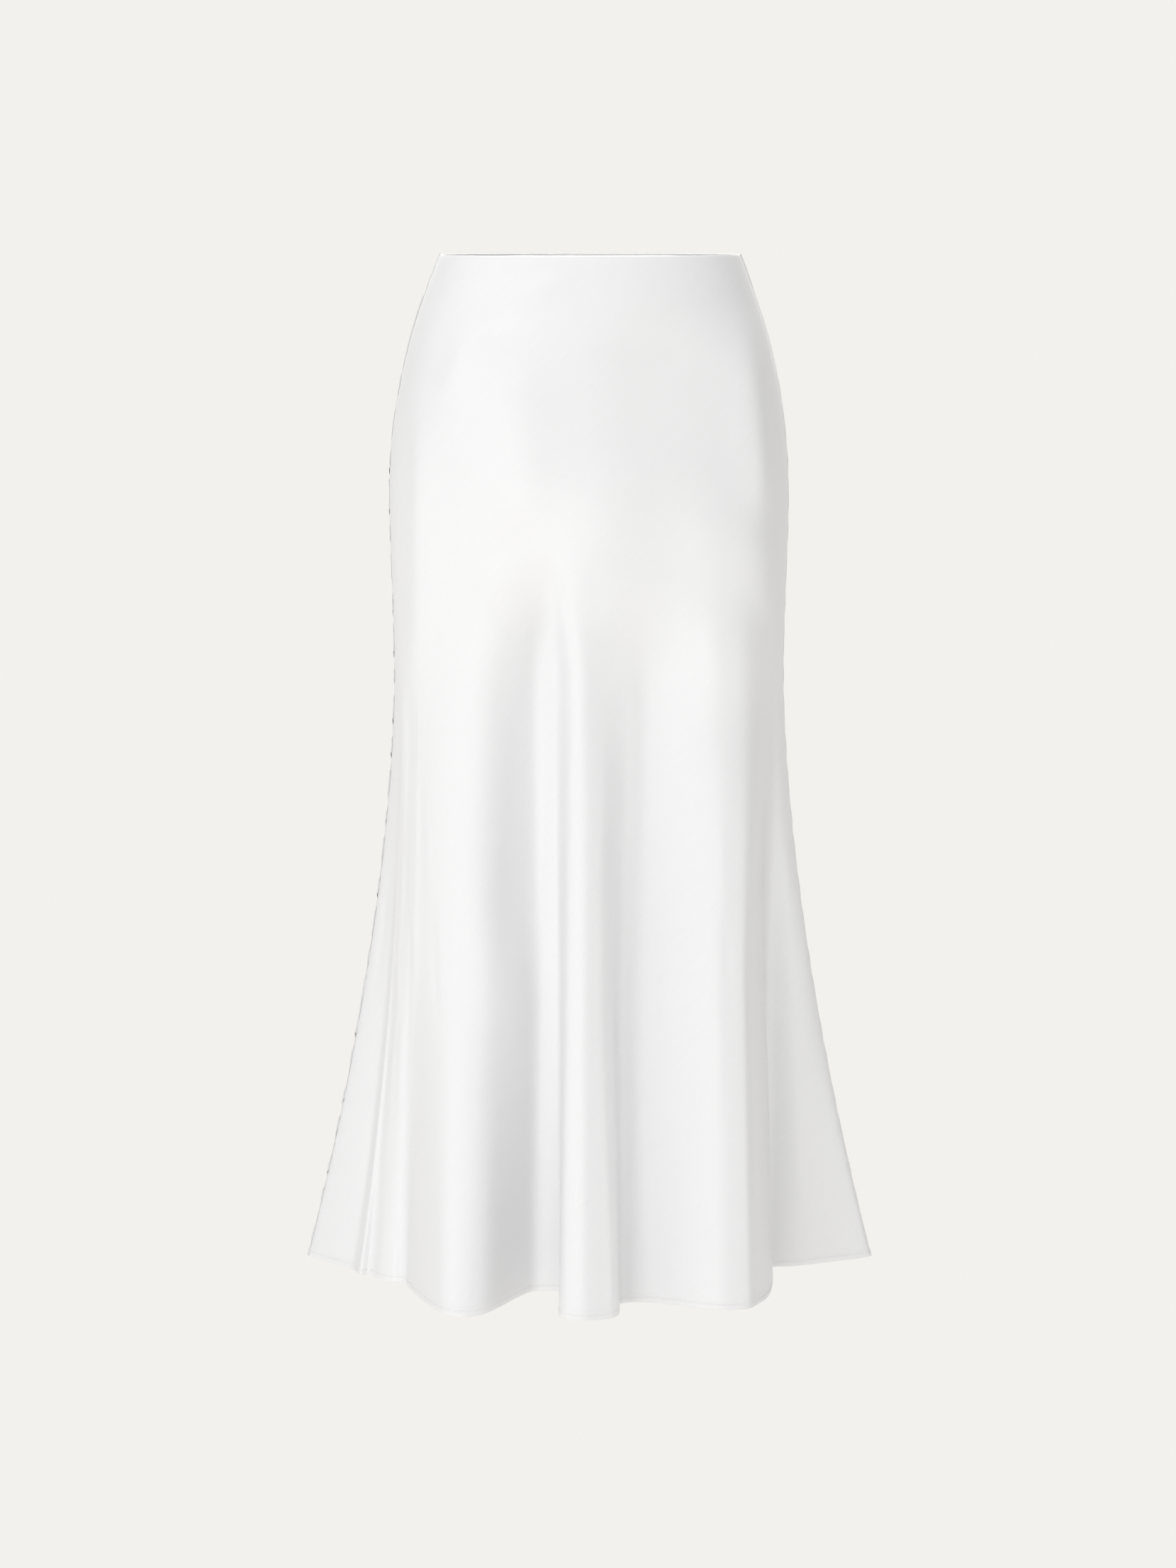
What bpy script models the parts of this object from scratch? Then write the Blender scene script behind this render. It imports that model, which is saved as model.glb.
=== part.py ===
"""A bias-cut satin slip skirt, filled out as it hangs when worn.

Metres, +Z up. The origin is where a waist holds the skirt: on its axis, halfway up
the waist elastic. The front faces -Y, and +X is to the right of someone facing it.
Bearings are in degrees round the axis: 0 is the front, 90 is +X, 180 is the back.
"""

from typing import NamedTuple

import bmesh
import bpy
import numpy as np

# The cloth and its edges.
CLOTH = 0.0010            # wall of the satin
HEM_TURN = 0.0065         # height of the narrow hem that is turned up inside
HEM_PROUD = 0.0003        # how far the hem's layers push the face out
HEM_THICK = 0.0016        # wall through the hem's three layers
TOP_ROLL = 0.0004         # how far the folded top edge rounds in
SEAM_GAP = 0.0003         # between two pieces that are sewn together

# The elastic inside the waist.
ELASTIC_HEIGHT = 0.025
ELASTIC_THICK = 0.0012
ELASTIC_BELOW_TOP = 0.0015

# The whole skirt.
DROP = 0.823              # straight down, from the top edge to the hem
TOP = ELASTIC_BELOW_TOP + ELASTIC_HEIGHT / 2   # the top edge's height over the origin
HIP = 0.185               # depth below the top edge of the fullest part
FULLNESS = 2.15           # the body oval's power: 2 is an ellipse, and more fills its corners

# The mesh.
PANEL_COLUMNS = 58        # cloth strips from side seam to side seam
BODY_ROWS = 9             # from the elastic's lower edge to the hip
SKIRT_ROWS = 17           # from the hip to the hem
BEND_PULL = 0.018         # metres of hem that a turn of one radian counts as, to share out columns
FINE_STEPS = 3000         # places at which the hem is walked to measure it


class Girth(NamedTuple):
    """How far the skirt reaches from its axis at one depth, without its flutes."""

    name: str
    below: float          # depth below the top edge
    side: float
    front: float
    back: float
    shift: float          # of its middle, towards +X


GIRTHS = (
    Girth("top edge", 0.000, 0.1201, 0.0850, 0.0880, 0.0010),
    Girth("high waist", 0.035, 0.1332, 0.0915, 0.0975, 0.0006),
    Girth("high hip", 0.070, 0.1444, 0.0968, 0.1070, 0.0006),
    Girth("hip bone", 0.105, 0.1524, 0.1005, 0.1145, 0.0004),
    Girth("upper hip", 0.140, 0.1580, 0.1028, 0.1190, 0.0),
    Girth("full hip", 0.185, 0.1609, 0.1035, 0.1205, 0.0),
    Girth("lower hip", 0.240, 0.1602, 0.1015, 0.1175, 0.0),
    Girth("thigh", 0.310, 0.1580, 0.0960, 0.1100, 0.0),
    Girth("lower thigh", 0.400, 0.1575, 0.0910, 0.1030, 0.0),
    Girth("hem", DROP, 0.1575, 0.0880, 0.1000, 0.0),
)
BACK_DIP = 0.0018         # how much lower the waist's edge is at the back
DIP_FADE = 0.05           # depth over which that fades away


class Fold(NamedTuple):
    """One crest or hollow of the flutes that the skirt falls into at its hem."""

    name: str
    bearing: float        # of its middle at the hem
    reach: float          # from the axis to its middle
    width: float          # across its rounded part
    faces: float          # bearing that its middle faces
    swell: float          # its rounding, in widths: out on a crest, in (negative) in a hollow
    lies: float           # bearing at which its cloth lies on the body
    start: float          # depth below the top edge at which it leaves the body
    power: float          # 1: it falls in a straight line from there; more: it sweeps out late
    tuck: float           # how far it sinks in under the hips


FOLDS = (
    Fold("left seam", -90, 0.2320, 0.012, -90, 0.27, -90, 0.31, 1.64, 0),
    Fold("left side hollow", -75, 0.1980, 0.030, -60, -0.07, -75, 0.31, 2.00, 0),
    Fold("left ripple", -65.5, 0.1870, 0.034, -48, 0.06, -65, 0.32, 1.45, 0),
    Fold("left ripple hollow", -57.5, 0.1750, 0.014, -62, -0.12, -57, 0.32, 1.05, 0),
    Fold("left crest", -28.5, 0.2205, 0.041, -18, 0.27, -38, 0.25, 1.75, 0),
    Fold("left hollow", -17.4, 0.1200, 0.031, 4, -0.16, -13, 0.225, 1.50, 0.022),
    Fold("centre crest", 0.5, 0.2080, 0.042, 3, 0.24, -2, 0.265, 0.93, 0),
    Fold("right hollow", 16.3, 0.1590, 0.038, 0, -0.16, 17, 0.25, 1.20, 0.015),
    Fold("right crest", 34, 0.2130, 0.058, 20, 0.27, 43, 0.255, 1.00, 0),
    Fold("right side hollow", 72.5, 0.1580, 0.012, 62, -0.16, 67, 0.31, 1.10, 0),
    Fold("right seam", 90, 0.2330, 0.012, 90, 0.27, 90, 0.31, 1.64, 0),
    Fold("right back hollow", 107, 0.1780, 0.030, 115, -0.16, 109, 0.30, 1.40, 0.003),
    Fold("right back crest", 128, 0.2210, 0.044, 134, 0.27, 130, 0.29, 1.15, 0),
    Fold("first back hollow", 148, 0.1500, 0.034, 150, -0.16, 149, 0.28, 0.95, 0.008),
    Fold("back crest", 166, 0.2150, 0.042, 168, 0.27, 165, 0.27, 0.85, 0),
    Fold("second back hollow", 183, 0.1440, 0.030, 182, -0.16, 182, 0.27, 0.90, 0.010),
    Fold("left back crest", 202, 0.2230, 0.050, 198, 0.27, 201, 0.27, 0.90, 0),
    Fold("third back hollow", 222, 0.1550, 0.036, 218, -0.16, 221, 0.29, 1.00, 0.007),
    Fold("left side crest", 240, 0.2120, 0.036, 236, 0.27, 238, 0.30, 1.30, 0),
    Fold("left back hollow", 255, 0.1790, 0.024, 252, -0.16, 253, 0.31, 1.50, 0.003),
)
START_EASE = 0.08         # share of the fall over which a fold rounds off its start
TUCK_REACH = 0.09         # depth over which a tuck sinks to its full size
TUCK_FADE = 0.42          # depth below the top edge from which it fades towards the hem
LEFT_SEAM = 0             # the folds on which the side seams lie
RIGHT_SEAM = 10


def direction(bearing):
    """Unit vector in plan at a bearing in degrees."""
    angle = np.radians(bearing)
    return np.array([np.sin(angle), -np.cos(angle)])


def spline(knots, values, places, period=None):
    """Smooth cubic through values at knots, read at places.

    With a period it closes on itself; without one its ends are free.
    """
    knots, values = np.asarray(knots, float), np.asarray(values, float)
    if period:
        knots = np.append(knots, knots[0] + period)
        values = np.append(values, values[:1], axis=0)
        places = knots[0] + (np.asarray(places, float) - knots[0]) % period
    gaps = np.diff(knots)
    count = len(knots)
    matrix = np.eye(count)
    right = np.zeros((count,) + values.shape[1:])
    slopes = (np.diff(values, axis=0).T / gaps).T
    for i in range(1, count - 1):
        matrix[i, i - 1:i + 2] = gaps[i - 1], 2 * (gaps[i - 1] + gaps[i]), gaps[i]
        right[i] = 6 * (slopes[i] - slopes[i - 1])
    if period:
        matrix[0, -1] = -1
        matrix[-1, [0, 1, -2]] = 2 * gaps[0], gaps[0], gaps[-1]
        matrix[-1, -1] = 2 * gaps[-1]
        right[-1] = 6 * (slopes[0] - slopes[-1])
    bends = np.linalg.solve(matrix, right)
    i = np.clip(np.searchsorted(knots, places, side="right") - 1, 0, count - 2)
    a, b = knots[i + 1] - places, places - knots[i]
    h = gaps[i]
    if values.ndim > 1:
        a, b, h = a[:, None], b[:, None], h[:, None]
    bent = (a ** 3 / h - a * h) * bends[i] + (b ** 3 / h - b * h) * bends[i + 1]
    return bent / 6 + (a * values[i] + b * values[i + 1]) / h


class HemLine:
    """The closed line of the hem in plan, through three marks on each fold."""

    def __init__(self):
        marks = []
        for fold in FOLDS:
            middle = direction(fold.bearing) * fold.reach
            along = direction(fold.faces + 90) * fold.width / 2
            shoulder = direction(fold.faces) * fold.width * -fold.swell
            marks += [middle - along + shoulder, middle, middle + along + shoulder]
        self.marks = np.array(marks)
        chords = np.linalg.norm(np.diff(self.marks, axis=0, append=self.marks[:1]), axis=1)
        ends = np.append(0.0, np.cumsum(np.sqrt(chords)))
        self.knots, self.period = ends[:-1], ends[-1]
        self.middles = self.knots[1::3]

    def at(self, places):
        """Points in plan at places along the line."""
        return spline(self.knots, self.marks, places, self.period)

    def columns(self, start, end):
        """Places from start to end, closer together where the hem bends."""
        places = np.linspace(start, end, FINE_STEPS)
        steps = np.diff(self.at(places), axis=0)
        lengths = np.linalg.norm(steps, axis=1)
        turns = np.abs(np.gradient(np.unwrap(np.arctan2(*steps.T))))
        share = np.append(0.0, np.cumsum(lengths + BEND_PULL * turns))
        return np.interp(np.linspace(0, share[-1], PANEL_COLUMNS + 1), share, places)

    def blend(self, values, places):
        """Values that stand at the folds' middles, passing smoothly from each to the next."""
        knots = np.append(self.middles, self.middles[0] + self.period)
        values = np.append(values, values[0])
        spots = knots[0] + (places - knots[0]) % self.period
        i = np.clip(np.searchsorted(knots, spots, side="right") - 1, 0, len(knots) - 2)
        share = (spots - knots[i]) / (knots[i + 1] - knots[i])
        share = smooth(share)
        return values[i] * (1 - share) + values[i + 1] * share


def girth(below):
    """(side, front, back, shift) of the body at each depth."""
    table = np.array([(g.below, g.side, g.front, g.back, g.shift) for g in GIRTHS])
    return spline(table[:, 0], table[:, 1:], below).T


def body_points(bearings, below):
    """Points in plan on the body's oval at each depth: shape (rows, columns, 2)."""
    side, front, back, shift = (reach[:, None] for reach in girth(below))
    sine, cosine = np.sin(np.radians(bearings)), np.cos(np.radians(bearings))
    full = (np.abs(sine) ** FULLNESS + np.abs(cosine) ** FULLNESS) ** (-1 / FULLNESS)
    depth, centre = (front + back) / 2, (back - front) / 2
    return np.stack([shift + side * sine * full, centre - depth * cosine * full], axis=-1)


def body_bearings(hem, places):
    """Bearings at which the cloth above each place of the hem lies on the body."""
    turn = 360 / hem.period
    lies = np.array([fold.lies for fold in FOLDS])
    return spline(hem.middles, lies - turn * hem.middles, places, hem.period) + turn * places


def flute_growth(hem, places, below):
    """Share of its full size that the hem's shape has reached: (rows, columns)."""
    start = hem.blend([fold.start for fold in FOLDS], places)
    power = hem.blend([fold.power for fold in FOLDS], places)
    fallen = np.clip((below[:, None] - start) / (DROP - start), 0, None)
    return (fallen ** 2 * (1 + START_EASE) / (fallen + START_EASE)) ** power


def smooth(share):
    """Soft step: 0 below 0, 1 above 1 and level at both ends."""
    held = np.clip(share, 0, 1)
    return held * held * (3 - 2 * held)


def tucked(hem, places, below):
    """How far the cloth sinks in under the hips: (rows, columns)."""
    size = hem.blend([fold.tuck for fold in FOLDS], places)
    start = hem.blend([fold.start for fold in FOLDS], places)
    sunk = smooth((below[:, None] - start) / TUCK_REACH)
    kept = 1 - smooth((below - TUCK_FADE) / (DROP - TUCK_FADE))
    return size * sunk * kept[:, None]


def ring_of_columns(hem):
    """Places of all columns, from the left seam round to just before it."""
    left, right = hem.middles[LEFT_SEAM], hem.middles[RIGHT_SEAM]
    front = hem.columns(left, right)
    back = hem.columns(right, left + hem.period)
    return np.concatenate([front[:-1], back[:-1]])


def rows():
    """Depths below the top edge: the waist's edges, the body, the skirt and the hem."""
    waist = [0.0, ELASTIC_BELOW_TOP, TOP, ELASTIC_BELOW_TOP + ELASTIC_HEIGHT]
    body = np.linspace(waist[-1], HIP, BODY_ROWS + 1)[1:]
    turned = DROP - HEM_TURN
    skirt = np.linspace(HIP, turned - 2 * HEM_PROUD, SKIRT_ROWS + 1)[1:]
    return np.concatenate([waist, body, skirt, [turned, DROP]])


def cloth_surface(hem, places, below):
    """The cloth's face: points (rows, columns, 3) on a ring that closes on itself."""
    bearings = body_bearings(hem, places)
    body = body_points(bearings, below)
    spread = hem.at(places)[None] - body_points(bearings, np.array([DROP]))
    plan = body + spread * flute_growth(hem, places, below)[..., None]
    plan = plan - direction(bearings).T * tucked(hem, places, below)[..., None]
    dip = BACK_DIP * (1 - np.cos(np.radians(bearings))) / 2 * np.exp(-below / DIP_FADE)[:, None]
    height = TOP - below[:, None] - dip
    return np.concatenate([plan, height[..., None]], axis=-1)


def outward(surface):
    """Unit normals of a ring of columns, pointing away from the axis."""
    round_it = np.roll(surface, -1, axis=1) - np.roll(surface, 1, axis=1)
    down_it = np.gradient(surface, axis=0)
    normals = np.cross(down_it, round_it)
    return normals / np.linalg.norm(normals, axis=-1, keepdims=True)


def wall_object(name, outer, inner, material, closed):
    """A closed wall between two grids of points, given as (rows, columns, 3)."""
    mesh = bmesh.new()
    grids = [[[mesh.verts.new(p) for p in row] for row in grid] for grid in (outer, inner)]
    out, back = grids
    row_count, column_count = outer.shape[:2]
    strips = column_count if closed else column_count - 1

    def patch(a, b, c, d):
        mesh.faces.new((a, b, c))
        mesh.faces.new((a, c, d))

    for i in range(row_count - 1):
        for j in range(strips):
            k = (j + 1) % column_count
            patch(out[i][j], out[i + 1][j], out[i + 1][k], out[i][k])
            patch(back[i][k], back[i + 1][k], back[i + 1][j], back[i][j])
    for j in range(strips):
        k = (j + 1) % column_count
        patch(out[0][k], back[0][k], back[0][j], out[0][j])
        patch(out[-1][j], back[-1][j], back[-1][k], out[-1][k])
    if not closed:
        for i in range(row_count - 1):
            patch(out[i][0], back[i][0], back[i + 1][0], out[i + 1][0])
            patch(out[i + 1][-1], back[i + 1][-1], back[i][-1], out[i][-1])
    data = bpy.data.meshes.new(name)
    mesh.to_mesh(data)
    mesh.free()
    data.shade_smooth()
    data.set_sharp_from_angle(angle=np.radians(50))
    data.materials.append(material)
    made = bpy.data.objects.new(name, data)
    bpy.data.collections["slip_skirt"].objects.link(made)
    return made


def material(name, colour, roughness):
    """A plain finish."""
    made = bpy.data.materials.new(name)
    made.use_nodes = True
    shader = made.node_tree.nodes["Principled BSDF"]
    shader.inputs["Base Color"].default_value = (*colour, 1)
    shader.inputs["Roughness"].default_value = roughness
    shader.inputs["Metallic"].default_value = 0
    return made


def part_at_seams(grid):
    """A panel's grid with its two side edges drawn back by half the seam gap."""
    grid = grid.copy()
    for edge, inside in ((0, 1), (-1, -2)):
        pull = grid[:, inside] - grid[:, edge]
        pull /= np.linalg.norm(pull, axis=-1, keepdims=True)
        grid[:, edge] += pull * SEAM_GAP / 2
    return grid


def build_panels(surface, normals, below, satin):
    """The front and back panels, each a wall from side seam to side seam."""
    in_hem = below > DROP - HEM_TURN - HEM_PROUD
    proud = np.where(in_hem, HEM_PROUD, 0.0)
    proud[0] = -TOP_ROLL
    thick = np.where(in_hem, HEM_THICK, CLOTH)
    thick[0] = CLOTH / 2
    outer = surface + normals * proud[:, None, None]
    inner = outer - normals * thick[:, None, None]
    around = np.arange(2 * PANEL_COLUMNS + 1) % (2 * PANEL_COLUMNS)
    for name, first in (("front_panel", 0), ("back_panel", PANEL_COLUMNS)):
        chosen = around[first:first + PANEL_COLUMNS + 1]
        wall_object(
            name, part_at_seams(outer[:, chosen]), part_at_seams(inner[:, chosen]), satin, False
        )


def build_elastic(surface, normals, below, tape):
    """The elastic: a ring that lies flat against the inside of the waist."""
    held = (below >= ELASTIC_BELOW_TOP) & (below <= ELASTIC_BELOW_TOP + ELASTIC_HEIGHT + 1e-9)
    face = surface[held] - normals[held] * (CLOTH + SEAM_GAP)
    wall_object("waist_elastic", face, face - normals[held] * ELASTIC_THICK, tape, True)


def main():
    """Clears the scene and builds the skirt."""
    for old in list(bpy.data.objects):
        bpy.data.objects.remove(old, do_unlink=True)
    collection = bpy.data.collections.new("slip_skirt")
    bpy.context.scene.collection.children.link(collection)
    hem = HemLine()
    below = rows()
    surface = cloth_surface(hem, ring_of_columns(hem), below)
    normals = outward(surface)
    build_panels(surface, normals, below, material("satin", (0.93, 0.93, 0.92), 0.35))
    build_elastic(surface, normals, below, material("elastic", (0.85, 0.85, 0.84), 0.7))


if __name__ == "__main__":
    main()
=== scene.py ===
"""The looks of a white satin slip skirt, filled out as it hangs when worn.

Metres, +Z up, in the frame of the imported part: the origin is on the waist's axis, halfway up
the waist elastic. The front faces -Y, and +X is to the right of someone facing it. Bearings
are in degrees round the axis: 0 is the front, 90 is +X, 180 is the back.
"""

import logging
import math
from dataclasses import dataclass
from enum import Enum

import bpy
import numpy as np
from bpy.types import ID, Material, Node, NodeSocket, NodeTree, Object
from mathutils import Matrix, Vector


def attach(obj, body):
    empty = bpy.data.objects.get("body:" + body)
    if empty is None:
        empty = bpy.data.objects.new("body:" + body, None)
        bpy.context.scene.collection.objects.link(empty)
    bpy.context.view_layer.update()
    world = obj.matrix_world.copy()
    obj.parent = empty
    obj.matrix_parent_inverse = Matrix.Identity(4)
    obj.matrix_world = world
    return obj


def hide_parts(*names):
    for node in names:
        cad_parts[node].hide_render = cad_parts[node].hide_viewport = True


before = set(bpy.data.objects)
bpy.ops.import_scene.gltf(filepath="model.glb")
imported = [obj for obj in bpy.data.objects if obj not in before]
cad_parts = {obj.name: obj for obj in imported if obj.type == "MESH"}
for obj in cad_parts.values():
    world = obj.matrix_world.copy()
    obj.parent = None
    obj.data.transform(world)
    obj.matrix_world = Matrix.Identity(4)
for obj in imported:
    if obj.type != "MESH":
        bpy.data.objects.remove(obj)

LOG = logging.getLogger("slip_skirt")


# The form: the same body oval, flutes and hem line that the solids are cut to.


@dataclass(frozen=True)
class Girth:
    """How far the skirt reaches from its axis at one depth, without its flutes."""

    name: str
    below: float
    side: float
    front: float
    back: float
    shift: float


@dataclass(frozen=True)
class Fold:
    """One crest or hollow of the flutes that the skirt falls into at its hem.

    bearing and reach place its middle at the hem, width is across its rounded part, faces is
    the bearing that its middle faces, swell is its rounding in widths, lies is the bearing at
    which its cloth lies on the body, start is the depth at which it leaves the body, power
    says how late it sweeps out, and tuck how far it sinks in under the hips.
    """

    name: str
    bearing: float
    reach: float
    width: float
    faces: float
    swell: float
    lies: float
    start: float
    power: float
    tuck: float


DROP = 0.823

GIRTHS = (
    Girth("top edge", 0.000, 0.1201, 0.0850, 0.0880, 0.0010),
    Girth("high waist", 0.035, 0.1332, 0.0915, 0.0975, 0.0006),
    Girth("high hip", 0.070, 0.1444, 0.0968, 0.1070, 0.0006),
    Girth("hip bone", 0.105, 0.1524, 0.1005, 0.1145, 0.0004),
    Girth("upper hip", 0.140, 0.1580, 0.1028, 0.1190, 0.0),
    Girth("full hip", 0.185, 0.1609, 0.1035, 0.1205, 0.0),
    Girth("lower hip", 0.240, 0.1602, 0.1015, 0.1175, 0.0),
    Girth("thigh", 0.310, 0.1580, 0.0960, 0.1100, 0.0),
    Girth("lower thigh", 0.400, 0.1575, 0.0910, 0.1030, 0.0),
    Girth("hem", DROP, 0.1575, 0.0880, 0.1000, 0.0),
)

FOLDS = (
    Fold("left seam", -90, 0.2320, 0.012, -90, 0.27, -90, 0.31, 1.64, 0),
    Fold("left side hollow", -75, 0.1980, 0.030, -60, -0.07, -75, 0.31, 2.00, 0),
    Fold("left ripple", -65.5, 0.1870, 0.034, -48, 0.06, -65, 0.32, 1.45, 0),
    Fold("left ripple hollow", -57.5, 0.1750, 0.014, -62, -0.12, -57, 0.32, 1.05, 0),
    Fold("left crest", -28.5, 0.2205, 0.041, -18, 0.27, -38, 0.25, 1.75, 0),
    Fold("left hollow", -17.4, 0.1200, 0.031, 4, -0.16, -13, 0.225, 1.50, 0.022),
    Fold("centre crest", 0.5, 0.2080, 0.042, 3, 0.24, -2, 0.265, 0.93, 0),
    Fold("right hollow", 16.3, 0.1590, 0.038, 0, -0.16, 17, 0.25, 1.20, 0.015),
    Fold("right crest", 34, 0.2130, 0.058, 20, 0.27, 43, 0.255, 1.00, 0),
    Fold("right side hollow", 72.5, 0.1580, 0.012, 62, -0.16, 67, 0.31, 1.10, 0),
    Fold("right seam", 90, 0.2330, 0.012, 90, 0.27, 90, 0.31, 1.64, 0),
    Fold("right back hollow", 107, 0.1780, 0.030, 115, -0.16, 109, 0.30, 1.40, 0.003),
    Fold("right back crest", 128, 0.2210, 0.044, 134, 0.27, 130, 0.29, 1.15, 0),
    Fold("first back hollow", 148, 0.1500, 0.034, 150, -0.16, 149, 0.28, 0.95, 0.008),
    Fold("back crest", 166, 0.2150, 0.042, 168, 0.27, 165, 0.27, 0.85, 0),
    Fold("second back hollow", 183, 0.1440, 0.030, 182, -0.16, 182, 0.27, 0.90, 0.010),
    Fold("left back crest", 202, 0.2230, 0.050, 198, 0.27, 201, 0.27, 0.90, 0),
    Fold("third back hollow", 222, 0.1550, 0.036, 218, -0.16, 221, 0.29, 1.00, 0.007),
    Fold("left side crest", 240, 0.2120, 0.036, 236, 0.27, 238, 0.30, 1.30, 0),
    Fold("left back hollow", 255, 0.1790, 0.024, 252, -0.16, 253, 0.31, 1.50, 0.003),
)
LEFT_SEAM = 0
RIGHT_SEAM = 10


def direction(bearing: float) -> np.ndarray:
    """Returns the unit vector in plan at a bearing in degrees."""
    angle = math.radians(bearing)
    return np.array([math.sin(angle), -math.cos(angle)])


def smooth(share: np.ndarray) -> np.ndarray:
    """Returns a soft step: 0 below 0, 1 above 1 and level at both ends."""
    held = np.clip(share, 0.0, 1.0)
    return held * held * (3 - 2 * held)


def spline(
    knots: np.ndarray, values: np.ndarray, places: np.ndarray, period: float | None = None
) -> np.ndarray:
    """Reads a smooth cubic curve.

    Args:
        knots: Where the values stand, in rising order.
        values: A number or a point for each knot.
        places: Where to read the curve.
        period: The length after which the curve closes on itself, or None for free ends.

    Returns:
        The curve's value at each place.
    """
    knots, values = np.asarray(knots, float), np.asarray(values, float)
    if period:
        knots = np.append(knots, knots[0] + period)
        values = np.append(values, values[:1], axis=0)
        places = knots[0] + (np.asarray(places, float) - knots[0]) % period
    gaps = np.diff(knots)
    count = len(knots)
    matrix = np.eye(count)
    right = np.zeros((count,) + values.shape[1:])
    slopes = (np.diff(values, axis=0).T / gaps).T
    for i in range(1, count - 1):
        matrix[i, i - 1:i + 2] = gaps[i - 1], 2 * (gaps[i - 1] + gaps[i]), gaps[i]
        right[i] = 6 * (slopes[i] - slopes[i - 1])
    if period:
        matrix[0, -1] = -1
        matrix[-1, [0, 1, -2]] = 2 * gaps[0], gaps[0], gaps[-1]
        matrix[-1, -1] = 2 * gaps[-1]
        right[-1] = 6 * (slopes[0] - slopes[-1])
    bends = np.linalg.solve(matrix, right)
    i = np.clip(np.searchsorted(knots, places, side="right") - 1, 0, count - 2)
    a, b, h = knots[i + 1] - places, places - knots[i], gaps[i]
    if values.ndim > 1:
        a, b, h = a[:, None], b[:, None], h[:, None]
    bent = (a ** 3 / h - a * h) * bends[i] + (b ** 3 / h - b * h) * bends[i + 1]
    return bent / 6 + (a * values[i] + b * values[i + 1]) / h


class HemLine:
    """The closed line of the hem in plan, through three marks on each fold."""

    def __init__(self) -> None:
        """Sets the marks out from the table of folds."""
        marks = []
        for fold in FOLDS:
            middle = direction(fold.bearing) * fold.reach
            along = direction(fold.faces + 90) * fold.width / 2
            shoulder = direction(fold.faces) * fold.width * -fold.swell
            marks += [middle - along + shoulder, middle, middle + along + shoulder]
        self.marks = np.array(marks)
        chords = np.linalg.norm(np.diff(self.marks, axis=0, append=self.marks[:1]), axis=1)
        ends = np.append(0.0, np.cumsum(np.sqrt(chords)))
        self.knots, self.period = ends[:-1], float(ends[-1])
        self.middles = self.knots[1::3]

    def at(self, places: np.ndarray) -> np.ndarray:
        """Returns the points in plan at places along the line."""
        return spline(self.knots, self.marks, places, self.period)

    def blend(self, values: list[float], places: np.ndarray) -> np.ndarray:
        """Passes smoothly between values that stand at the folds' middles.

        Args:
            values: One number for each fold.
            places: Where to read them, along the line.

        Returns:
            The blended number at each place.
        """
        knots = np.append(self.middles, self.middles[0] + self.period)
        stood = np.append(values, values[0])
        spots = knots[0] + (places - knots[0]) % self.period
        i = np.clip(np.searchsorted(knots, spots, side="right") - 1, 0, len(knots) - 2)
        share = smooth((spots - knots[i]) / (knots[i + 1] - knots[i]))
        return stood[i] * (1 - share) + stood[i + 1] * share


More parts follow.
